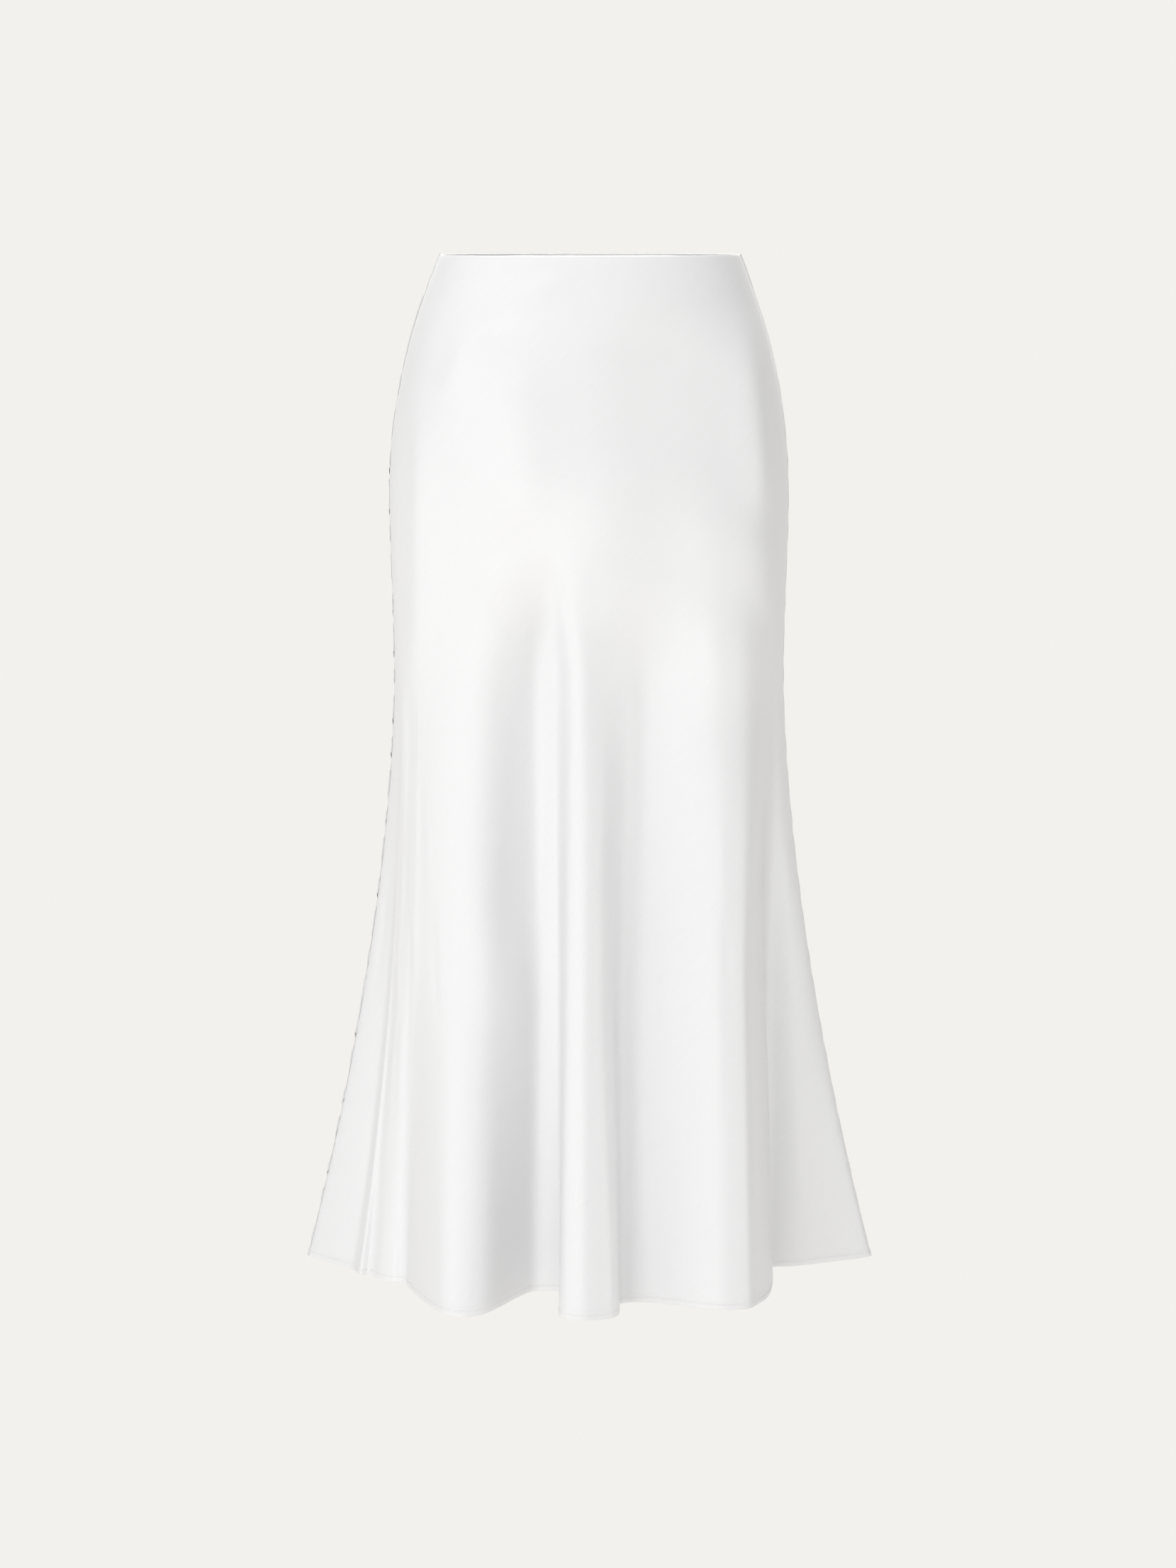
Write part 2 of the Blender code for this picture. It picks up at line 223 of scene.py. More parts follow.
@dataclass(frozen=True)
class SkirtForm:
    """The cloth's face, from the waist's edge to the hem, all round.

    top is the waist edge's height over the origin, back_dip how much lower the edge is at the
    back, dip_fade the depth over which that fades, and start_ease the share of its fall over
    which a fold rounds off its start. tuck_reach is the depth over which a tuck sinks to its
    full size, and tuck_fade the depth from which it fades towards the hem. fullness is the
    oval's power: 2 is an ellipse, and more fills its corners.
    """

    hem: HemLine
    top: float = 0.014
    back_dip: float = 0.0018
    dip_fade: float = 0.05
    start_ease: float = 0.08
    tuck_reach: float = 0.09
    tuck_fade: float = 0.42
    fullness: float = 2.15

    def bearings(self, places: np.ndarray) -> np.ndarray:
        """Finds where the cloth lies on the body.

        Args:
            places: Columns, as places along the hem line.

        Returns:
            The bearing of each column there.
        """
        turn = 360 / self.hem.period
        lies = np.array([fold.lies for fold in FOLDS]) - turn * self.hem.middles
        return spline(self.hem.middles, lies, places, self.hem.period) + turn * places

    def body(self, bearings: np.ndarray, below: np.ndarray) -> np.ndarray:
        """Works out the body's oval.

        Args:
            bearings: The bearing of each column.
            below: The depth of each row.

        Returns:
            Its points in plan, (rows, columns, 2).
        """
        table = np.array([(g.below, g.side, g.front, g.back, g.shift) for g in GIRTHS])
        side, front, back, shift = spline(table[:, 0], table[:, 1:], below).T[:, :, None]
        sine, cosine = np.sin(np.radians(bearings)), np.cos(np.radians(bearings))
        power = self.fullness
        full = (np.abs(sine) ** power + np.abs(cosine) ** power) ** (-1 / power)
        depth, centre = (front + back) / 2, (back - front) / 2
        return np.stack([shift + side * sine * full, centre - depth * cosine * full], axis=-1)

    def growth(self, places: np.ndarray, below: np.ndarray) -> np.ndarray:
        """Works out how far the cloth has swept out towards the hem line.

        Args:
            places: Columns, as places along the hem line.
            below: The depth of each row.

        Returns:
            The share of the way, (rows, columns).
        """
        start = self.hem.blend([fold.start for fold in FOLDS], places)
        power = self.hem.blend([fold.power for fold in FOLDS], places)
        fallen = np.clip((below[:, None] - start) / (DROP - start), 0, None)
        return (fallen ** 2 * (1 + self.start_ease) / (fallen + self.start_ease)) ** power

    def tucked(self, places: np.ndarray, below: np.ndarray) -> np.ndarray:
        """Works out how far the cloth sinks in under the hips.

        Args:
            places: Columns, as places along the hem line.
            below: The depth of each row.

        Returns:
            The distance inward, (rows, columns).
        """
        size = self.hem.blend([fold.tuck for fold in FOLDS], places)
        start = self.hem.blend([fold.start for fold in FOLDS], places)
        sunk = smooth((below[:, None] - start) / self.tuck_reach)
        kept = 1 - smooth((below - self.tuck_fade) / (DROP - self.tuck_fade))
        return size * sunk * kept[:, None]

    def surface(self, places: np.ndarray, below: np.ndarray) -> np.ndarray:
        """Works out the cloth's face.

        Args:
            places: Columns, as places along the hem line.
            below: Rows, as depths below the top edge.

        Returns:
            Points of shape (rows, columns, 3).
        """
        bearings = self.bearings(places)
        spread = self.hem.at(places)[None] - self.body(bearings, np.array([DROP]))
        plan = self.body(bearings, below) + spread * self.growth(places, below)[..., None]
        angle = np.radians(bearings)
        inward = np.stack([-np.sin(angle), np.cos(angle)], axis=-1)
        plan = plan + inward * self.tucked(places, below)[..., None]
        turned = (1 - np.cos(angle)) / 2
        dip = self.back_dip * turned * np.exp(-below / self.dip_fade)[:, None]
        return np.concatenate([plan, (self.top - below[:, None] - dip)[..., None]], axis=-1)


def outward(surface: np.ndarray) -> np.ndarray:
    """Works out which way a closed ring of columns faces.

    Args:
        surface: Its points, (rows, columns, 3).

    Returns:
        The unit normals, pointing away from the axis.
    """
    round_it = np.roll(surface, -1, axis=1) - np.roll(surface, 1, axis=1)
    normals = np.cross(np.gradient(surface, axis=0), round_it)
    return normals / np.linalg.norm(normals, axis=-1, keepdims=True)


# Creases, and broad swells.


FACES_FULLY = 0.45  # a crease is full-size where the cloth faces its view by this share
END_SHARE = 0.35  # the share of a crease's length over which each of its ends dies away


class View(Enum):
    """The side of the skirt that a crease is placed on: the bearing it is seen from."""

    FRONT = 0
    RIGHT = 90
    BACK = 180
    LEFT = 270


@dataclass(frozen=True)
class Crease:
    """A soft trough or ridge in the cloth, as seen from one side.

    across is to the right of the axis in that view and below is under the top edge, at the
    crease's upper and lower end. width is across its slopes, and rise is how far its line
    stands proud, or lies in where it is negative. bow carries its middle to the right, and
    reach carries it round onto cloth that is turned edge-on to that view.
    """

    view: View
    across: float
    below: float
    across_end: float
    below_end: float
    width: float
    rise: float
    bow: float = 0.0
    reach: float = 0.0

    def offsets(self, points: np.ndarray, normals: np.ndarray, below: np.ndarray) -> np.ndarray:
        """Works out how far the crease moves the cloth.

        Args:
            points: The cloth's face, (rows, columns, 3).
            normals: Its unit normals.
            below: The depth of each row.

        Returns:
            The distance along the normals, (rows, columns).
        """
        towards = direction(self.view.value)
        rightward = direction(self.view.value + 90)
        facing = smooth((normals[..., :2] @ towards + self.reach) / FACES_FULLY)
        share = (below - self.below) / (self.below_end - self.below)
        middle = self.across + (self.across_end - self.across) * share
        middle = middle + self.bow * np.sin(np.pi * np.clip(share, 0, 1))
        away = (points[..., :2] @ rightward - middle[:, None]) / (self.width / 2)
        ends = smooth(share / END_SHARE)
        if self.below_end < DROP:
            ends = ends * smooth((1 - share) / END_SHARE)
        return self.rise * np.exp(-away ** 2) * ends[:, None] * facing


def creases(view: View, *rows: tuple[float, ...], reach: float = 0.0) -> list[Crease]:
    """Returns the creases of one group.

    Args:
        view: The side that they are placed on.
        rows: For each, in millimetres: across, below, across_end, below_end, width, rise and,
            where there is one, bow.
        reach: Their reach.

    Returns:
        The creases, in metres.
    """
    return [Crease(view, *(size / 1000 for size in row), reach=reach) for row in rows]


HEM_MM = DROP * 1000

CREASES = [
    # The full left flank of the centre flute.
    *creases(
        View.FRONT,
        (-26.5, 240, -26.5, 620, 22, 4.6),
        (-28, 500, -28, HEM_MM, 22, 3.6),
        reach=0.35,
    ),
    # Broad, shallow swells and dips over the hips and down the flutes.
    *creases(
        View.FRONT,
        (-42, 260, -42, 600, 20, -2), (-32, 260, -32, 450, 16, -0.5),
        (-58, 260, -58, 600, 34, -3.3), (-58, 500, -55, HEM_MM, 30, 4.2),
        (-70, 550, -70, HEM_MM, 30, -2), (-6, 400, -4, HEM_MM, 20, 1.4),
        (14, 500, 14, HEM_MM, 30, -2.4), (20, 260, 20, 500, 26, 2.6), (45, 260, 45, 600, 40, -0.9),
        (40, 500, 40, HEM_MM, 30, -1), (60, 400, 62, HEM_MM, 30, 0.5),
        (85, 350, 85, HEM_MM, 40, -1.9), (140, 450, 140, HEM_MM, 30, -5.4),
        (150, 400, 152, HEM_MM, 20, -4.2), (112, 400, 116, HEM_MM, 24, -2.8),
        (170, 500, 175, HEM_MM, 30, 1), (138, 160, 138, 500, 30, 3.2),
        (146, 260, 148, 560, 16, -2.2), (-105, 260, -105, 600, 40, 2.6),
        (-90, 500, -90, HEM_MM, 30, -2.2), (-120, 400, -124, HEM_MM, 26, -1.4),
        (-122, 160, -122, 600, 30, 0.8), (-135, 100, -137, 400, 24, 2), (0, 140, 0, 300, 80, 2.5),
        (55, 30, 55, 180, 90, -6.7), (115, 150, 105, 380, 60, 8.6), (60, 130, 50, 300, 70, -2.8),
        (-146, 60, -148, 340, 20, -1.6), (-20, 10, -85, 65, 34, 2.9), (-90, 50, -118, 160, 30, 1),
        (-85, 40, -115, 120, 24, 2.3), (-100, 60, -118, 200, 40, 0.9),
        (-90, 100, -90, 300, 40, 2.6), (-60, 60, -60, 240, 60, 8.5), (120, 30, 135, 220, 34, 7.9),
        (95, 40, 100, 100, 40, 2.1), (-10, 220, -14, 340, 26, 1.8),
    ),
    # The pinched left edge of the centre flute.
    *creases(
        View.FRONT,
        (-20, 470, -19.8, HEM_MM, 4, -0.3),
    ),
    # Fine dry creases over the left ripple.
    *creases(
        View.FRONT,
        (-137, 400, -134, 480, 6, -0.5, 1), (-128, 445, -125, 525, 7, 0.5, -1),
        (-150, 450, -148, 545, 6, -0.5, 1), (-143, 510, -140.5, 600, 6, 0.5, 2),
        (-126.5, 530, -121.5, 610, 6, -0.5), (-157.5, 575, -160, 660, 7, -0.5, 2),
        (-149, 600, -152, 700, 6, 0.6, -2), (-134, 615, -140, 720, 7, -0.5, 1),
        (-165, 655, -171, 765, 8, 0.6), (-120, 500, -118, 570, 5, 0.3),
        (-150, 720, -155, 805, 7, -0.5), (-176, 690, -185, 785, 8, -0.4),
        (-110, 620, -112, 760, 9, 0.4, 1),
    ),
    # Down the right flute and out on the flare.
    *creases(
        View.FRONT,
        (103, 430, 108, 530, 8, 0.5, 1), (112, 510, 113, 605, 7, -0.4, -1),
        (100, 560, 103, 665, 7, 0.4, 2), (96, 655, 99, 745, 8, -0.4),
        (135, 500, 133, 600, 8, 0.5, 1), (150, 600, 158, 720, 10, -0.6, 2),
        (165, 680, 174, 790, 10, 0.6), (60, 530, 58, 625, 7, 0.4, 1),
        (68, 600, 67, 690, 7, -0.3, -1),
    ),
    # Small breaks where the flutes leave the hips.
    *creases(
        View.FRONT,
        (72, 270, 79, 330, 11, 0.5), (85, 290, 87, 350, 9, -0.4), (-58, 150, -54, 195, 12, -0.3),
        (88, 115, 100, 150, 14, 0.4),
    ),
    # Right side.
    *creases(
        View.RIGHT,
        (-30, 330, -36, 480, 14, -0.9, 3), (18, 300, 26, 470, 16, 0.9, -2),
        (-8, 470, -12, 620, 9, 0.6, 2), (8, 540, 11, 700, 9, -0.6, -1),
        (62, 420, 70, 560, 10, 0.6, 2), (90, 560, 102, 700, 10, -0.6),
        (-65, 500, -70, 640, 10, 0.5, -1), (26, 640, 29, 760, 8, 0.5, 1),
    ),
    # Back.
    *creases(
        View.BACK,
        (-95, 240, -85, 360, 16, 0.8, 2), (-42, 250, -35, 350, 14, -0.7),
        (30, 230, 24, 330, 16, -0.6, -2), (90, 250, 96, 360, 14, 0.8, 1),
        (-135, 420, -139, 520, 8, -0.6, 2), (-126, 480, -130, 590, 8, 0.6, -1),
        (-148, 540, -156, 660, 8, 0.5, 1), (-140, 640, -147, 770, 9, -0.6, 2),
        (-76, 500, -80, 620, 9, 0.5, 1), (-56, 590, -54, 720, 8, -0.5),
        (8, 440, 6, 560, 9, 0.5, -1), (20, 560, 22, 690, 8, -0.5, 1),
        (72, 430, 74, 560, 10, 0.6, 2), (86, 520, 90, 650, 8, -0.5, -1), (65, 660, 64, 780, 9, 0.5),
        (133, 450, 139, 570, 8, 0.6, 1), (144, 560, 152, 690, 9, -0.6, 2),
        (158, 650, 168, 770, 9, 0.6),
    ),
    # Left side.
    *creases(
        View.LEFT,
        (25, 320, 32, 480, 14, 0.9, 2), (-24, 310, -33, 450, 16, -0.8, -3),
        (10, 480, 13, 620, 9, -0.6, 1), (-13, 520, -17, 680, 9, 0.6, -2),
        (-70, 430, -78, 580, 10, 0.6, 1), (-96, 560, -108, 710, 10, -0.6, -1),
        (48, 560, 56, 690, 8, 0.5, 2), (-38, 660, -42, 780, 8, -0.5),
    ),
]


# Finishes.


def linear(code: str) -> tuple[float, float, float, float]:
    """Turns an sRGB hex colour into a linear one.

    Args:
        code: The colour, such as "#F3F1ED".

    Returns:
        Its linear red, green and blue, and 1.
    """
    parts = [int(code[i:i + 2], 16) / 255 for i in (1, 3, 5)]
    red, green, blue = (
        part / 12.92 if part <= 0.04045 else ((part + 0.055) / 1.055) ** 2.4 for part in parts
    )
    return red, green, blue, 1.0


def add_node(
    tree: NodeTree,
    kind: str,
    links: dict[str | int, NodeSocket] | None = None,
    values: dict[str | int, object] | None = None,
    **settings: object,
) -> Node:
    """Adds a node with its settings and links.

    Args:
        tree: The tree that gets it.
        kind: The node's type name.
        links: The output that feeds each of its inputs, by the input's name or number.
        values: The constant on each of its inputs, by the input's name or number.
        settings: The node's own properties.

    Returns:
        The node.
    """
    made = tree.nodes.new(kind)
    for name, value in settings.items():
        setattr(made, name, value)
    for key, value in (values or {}).items():
        made.inputs[key].default_value = value
    for key, output in (links or {}).items():
        tree.links.new(output, made.inputs[key])
    return made


def bands(
    tree: NodeTree, place: NodeSocket, spacing: float, way: str, **values: float
) -> NodeSocket:
    """Returns a wave that repeats at a spacing in metres.

    Args:
        tree: The tree that gets it.
        place: Where on the piece it is read.
        spacing: From one wave to the next.
        way: The axis that the waves follow.
        values: Its other constants, by socket, with _ for a space.

    Returns:
        The wave's height, from 0 to 1.
    """
    constants = {name.replace("_", " "): value for name, value in values.items()}
    # A wave repeats 20 / (2 pi) times a unit at scale 1.
    constants["Scale"] = 2 * math.pi / 20 / spacing
    wave = add_node(
        tree, "ShaderNodeTexWave", {"Vector": place}, constants,
        wave_type="BANDS", bands_direction=way,
    )
    return wave.outputs["Fac"]


def between(
    tree: NodeTree, share: NodeSocket, low: str, high: str
) -> NodeSocket:
    """Returns a colour that passes from the low tone to the high one with the share."""
    tones = {6: linear(low), 7: linear(high)}
    return add_node(tree, "ShaderNodeMix", {"Factor": share}, tones, data_type="RGBA").outputs[2]


def raised(
    tree: NodeTree, depth: float, strength: float, **links: NodeSocket
) -> NodeSocket:
    """Returns the normal of a surface with a relief that is up to depth metres deep."""
    bump = add_node(tree, "ShaderNodeBump", links, {"Strength": strength, "Distance": depth})
    return bump.outputs["Normal"]


def fibre_surface(
    tree: NodeTree, links: dict[str, NodeSocket], **values: float
) -> None:
    """Ends a material's tree in the surface of a plastic fibre, which refracts by 1.5."""
    shader = add_node(tree, "ShaderNodeBsdfPrincipled", links, {"IOR": 1.5, **values})
    add_node(tree, "ShaderNodeOutputMaterial", {"Surface": shader.outputs["BSDF"]})


def blank_material(name: str) -> Material:
    """Makes a material without any nodes.

    Args:
        name: Its name.

    Returns:
        The material.
    """
    made = bpy.data.materials.new(name)
    made.use_nodes = True
    made.node_tree.nodes.clear()
    return made


@dataclass(frozen=True)
class Satin:
    """Polyester satin, woven with long floats and cut on the bias.

    The floats give its face a broad soft gloss. The reverse shows the short side of the weave
    and is duller. Threads are 0.2 mm apart, too fine to show, so they are drawn 0.8 mm apart.
    """

    name: str
    thread: str = "#E8E8E9"
    shaded_thread: str = "#E5E5E6"
    roughness: float = 0.42
    roughness_spread: float = 0.03
    thread_spacing: float = 0.0008
    bias: float = math.radians(45)
    weave_depth: float = 0.00001
    slub_length: float = 0.030
    slub_width: float = 0.0035
    slub_depth: float = 0.00003

    def build(self) -> Material:
        """Builds the finish on the cloth's own map, in metres.

        Returns:
            The material.
        """
        made = blank_material(self.name)
        tree = made.node_tree
        cloth = add_node(tree, "ShaderNodeUVMap", uv_map="cloth")
        on_bias = add_node(
            tree, "ShaderNodeMapping", {"Vector": cloth.outputs["UV"]},
            {"Rotation": (0, 0, self.bias)},
        ).outputs["Vector"]
        weave = bands(
            tree, on_bias, self.thread_spacing, "X", Distortion=1.2, Detail=1.0, Detail_Scale=0.6
        )
        stretched = add_node(
            tree, "ShaderNodeMapping", {"Vector": on_bias},
            {"Scale": (1 / self.slub_width, 1 / self.slub_length, 1)},
        )
        slubs = add_node(
            tree, "ShaderNodeTexNoise", {"Vector": stretched.outputs["Vector"]},
            {"Scale": 1.0, "Detail": 2.0, "Roughness": 0.5},
        ).outputs["Fac"]
        fine = raised(tree, self.weave_depth, strength=0.35, Height=weave)
        coarse = raised(tree, self.slub_depth, strength=0.5, Height=slubs, Normal=fine)
        tint = between(tree, slubs, self.shaded_thread, self.thread)
        gloss = add_node(
            tree, "ShaderNodeMapRange", {"Value": slubs},
            {"To Min": self.roughness - self.roughness_spread,
             "To Max": self.roughness + self.roughness_spread},
        ).outputs["Result"]
        fibre_surface(tree, {"Base Color": tint, "Roughness": gloss, "Normal": coarse})
        return made


@dataclass(frozen=True)
class WovenElastic:
    """Woven elastic tape: polyester yarn over rubber cords, matt, with cords along it."""

    name: str = "woven_elastic"
    yarn: str = "#F0EFEC"
    # Painted shade: the yarn turns to this darker tone in the grooves between the cords.
    gap: str = "#D6D5D2"
    cord_spacing: float = 0.0016
    cord_depth: float = 0.0002
    yarn_scale: float = 1400.0
    yarn_depth: float = 0.00008

    def build(self) -> Material:
        """Builds the finish on Object coordinates.

        Returns:
            The material.
        """
        made = blank_material(self.name)
        tree = made.node_tree
        place = add_node(tree, "ShaderNodeTexCoord").outputs["Object"]
        cords = bands(tree, place, self.cord_spacing, "Z", Distortion=0.4, Detail=1.0)
        yarns = add_node(
            tree, "ShaderNodeTexNoise", {"Vector": place},
            {"Scale": self.yarn_scale, "Detail": 1.0},
        ).outputs["Fac"]
        # Painted shade: the tint darkens to the gap tone where the cords' relief sinks into its
        # grooves.
        tint = between(tree, cords, self.gap, self.yarn)
        ridges = raised(tree, self.cord_depth, strength=0.8, Height=cords)
        rough = raised(tree, self.yarn_depth, strength=0.5, Height=yarns, Normal=ridges)
        fibre_surface(
            tree, {"Base Color": tint, "Normal": rough}, **{"Roughness": 0.75, "Sheen Weight": 0.1}
        )
        return made


@dataclass(frozen=True)
class SewingThread:
    """Spun polyester thread: two plies twisted together, soft and faintly glossy."""

    name: str = "sewing_thread"
    ply: str = "#F4F3F0"
    # Painted shade: the ply turns to this darker tone in the groove between the plies.
    gap: str = "#DAD9D6"
    twist: float = 0.0005
    ply_depth: float = 0.00005

    def build(self) -> Material:
        """Builds the finish on Object coordinates.

        Returns:
            The material.
        """
        made = blank_material(self.name)
        tree = made.node_tree
        place = add_node(tree, "ShaderNodeTexCoord").outputs["Object"]
        plies = bands(tree, place, self.twist, "DIAGONAL", Distortion=0.5)
        # Painted shade: the tint darkens to the gap tone where the twist's relief sinks between the
        # plies.
        tint = between(tree, plies, self.gap, self.ply)
        ridges = raised(tree, self.ply_depth, strength=0.5, Height=plies)
        fibre_surface(tree, {"Base Color": tint, "Normal": ridges}, Roughness=0.55)
        return made


@dataclass(frozen=True)
class StudioPaper:
    """Seamless paper, lit so evenly that it shows as one pale tone."""

    name: str = "studio_paper"
    tone: str = "#F3F1ED"

    def build(self) -> Material:
        """Builds the finish as an even glow in the paper's own tone.

        Returns:
            The material.
        """
        made = blank_material(self.name)
        tree = made.node_tree
        tone = {"Color": linear(self.tone), "Strength": 1.0}
        glow = add_node(tree, "ShaderNodeEmission", values=tone)
        add_node(tree, "ShaderNodeOutputMaterial", {"Surface": glow.outputs["Emission"]})
        return made


# Meshes.


SHARP = math.radians(60)  # an edge that turns by more than this is drawn sharp


def put(name: str, data: ID) -> Object:
    """Puts an object in the scene.

    Args:
        name: Its name.
        data: Its mesh, light or camera.

    Returns:
        The object.
    """
    made = bpy.data.objects.new(name, data)
    bpy.context.scene.collection.objects.link(made)
    return made


def mesh_object(
    name: str, points: np.ndarray, faces: list[tuple[int, ...]], materials: list[Material]
) -> Object:
    """Makes a smooth mesh object at the origin.

    Args:
        name: The object's name.
        points: Its vertices, (count, 3).
        faces: Its faces, as vertex numbers.
        materials: Its material slots.

    Returns:
        The object, linked to the scene.
    """
    data = bpy.data.meshes.new(name)
    data.from_pydata(points.tolist(), [], faces)
    data.shade_smooth()
    for material in materials:
        data.materials.append(material)
    return put(name, data)


def wall_object(
    name: str,
    outer: np.ndarray,
    inner: np.ndarray,
    closed: bool,
    materials: list[Material],
) -> Object:
    """Makes a closed wall between two grids of points.

    Args:
        name: The object's name.
        outer: The outer grid, (rows, columns, 3).
        inner: The inner grid, of the same shape.
        closed: Whether the last column joins the first.
        materials: The outer face's material, and the inner face's where there are two.

    Returns:
        The object.
    """
    rows, columns = outer.shape[:2]
    count = rows * columns
    number = np.arange(count).reshape(rows, columns)
    right = np.roll(number, -1, axis=1) if closed else number[:, 1:]
    left = number if closed else number[:, :-1]
    face = np.stack([left[:-1], left[1:], right[1:], right[:-1]], axis=-1).reshape(-1, 4)
    reverse = face[:, ::-1] + count
    edges = [(right[0], left[0]), (left[-1], right[-1])]
    if not closed:
        start, end = number[:, 0], number[:, -1]
        edges += [(start[:-1], start[1:]), (end[1:], end[:-1])]
    rims = [np.stack([a, a + count, b + count, b], axis=-1) for a, b in edges]
    faces = np.concatenate([face, reverse, *rims]).tolist()
    points = np.concatenate([outer.reshape(-1, 3), inner.reshape(-1, 3)])
    made = mesh_object(name, points, faces, materials)
    if len(materials) > 1:
        slots = np.zeros(len(faces), dtype=np.int32)
        slots[len(face):2 * len(face)] = 1
        made.data.polygons.foreach_set("material_index", slots)
    made.data.set_sharp_from_angle(angle=SHARP)
    return made


def walked(grid: np.ndarray, axis: int) -> np.ndarray:
    """Returns how far each point of a grid is from the grid's start along one of its axes."""
    steps = np.linalg.norm(np.diff(grid, axis=axis), axis=-1)
    return np.insert(np.cumsum(steps, axis=axis), 0, 0.0, axis=axis)


def map_cloth(made: Object, grid: np.ndarray) -> None:
    """Gives a wall a map in metres, so that a weave runs on the cloth as it was cut.

    Args:
        made: The wall, made from grids of the same shape as grid.
        grid: Its face, (rows, columns, 3).
    """
    across = walked(grid, 1)
    across -= across[:, -1:] / 2
    places = np.stack([across, -walked(grid, 0)], axis=-1).reshape(-1, 2)
    places = np.tile(places, (2, 1))
    loops = np.empty(len(made.data.loops), dtype=np.int32)
    made.data.loops.foreach_get("vertex_index", loops)
    layer = made.data.uv_layers.new(name="cloth")
    layer.data.foreach_set("uv", places[loops].astype(np.float32).ravel())


# The pieces.


@dataclass(frozen=True)
class Ripple:
    """An uneven ripple along a line, made of two sines.

    first and second are their lengths, in metres a radian. The first has the given share of
    the ripple's size, and phase is the second's lead, in radians.
    """

    first: float
    second: float
    share: float
    phase: float

    def at(self, along: np.ndarray) -> np.ndarray:
        """Returns the ripple's height, up to 1, at distances along the line."""
        second = np.sin(along / self.second + self.phase)
        return self.share * np.sin(along / self.first) + (1 - self.share) * second


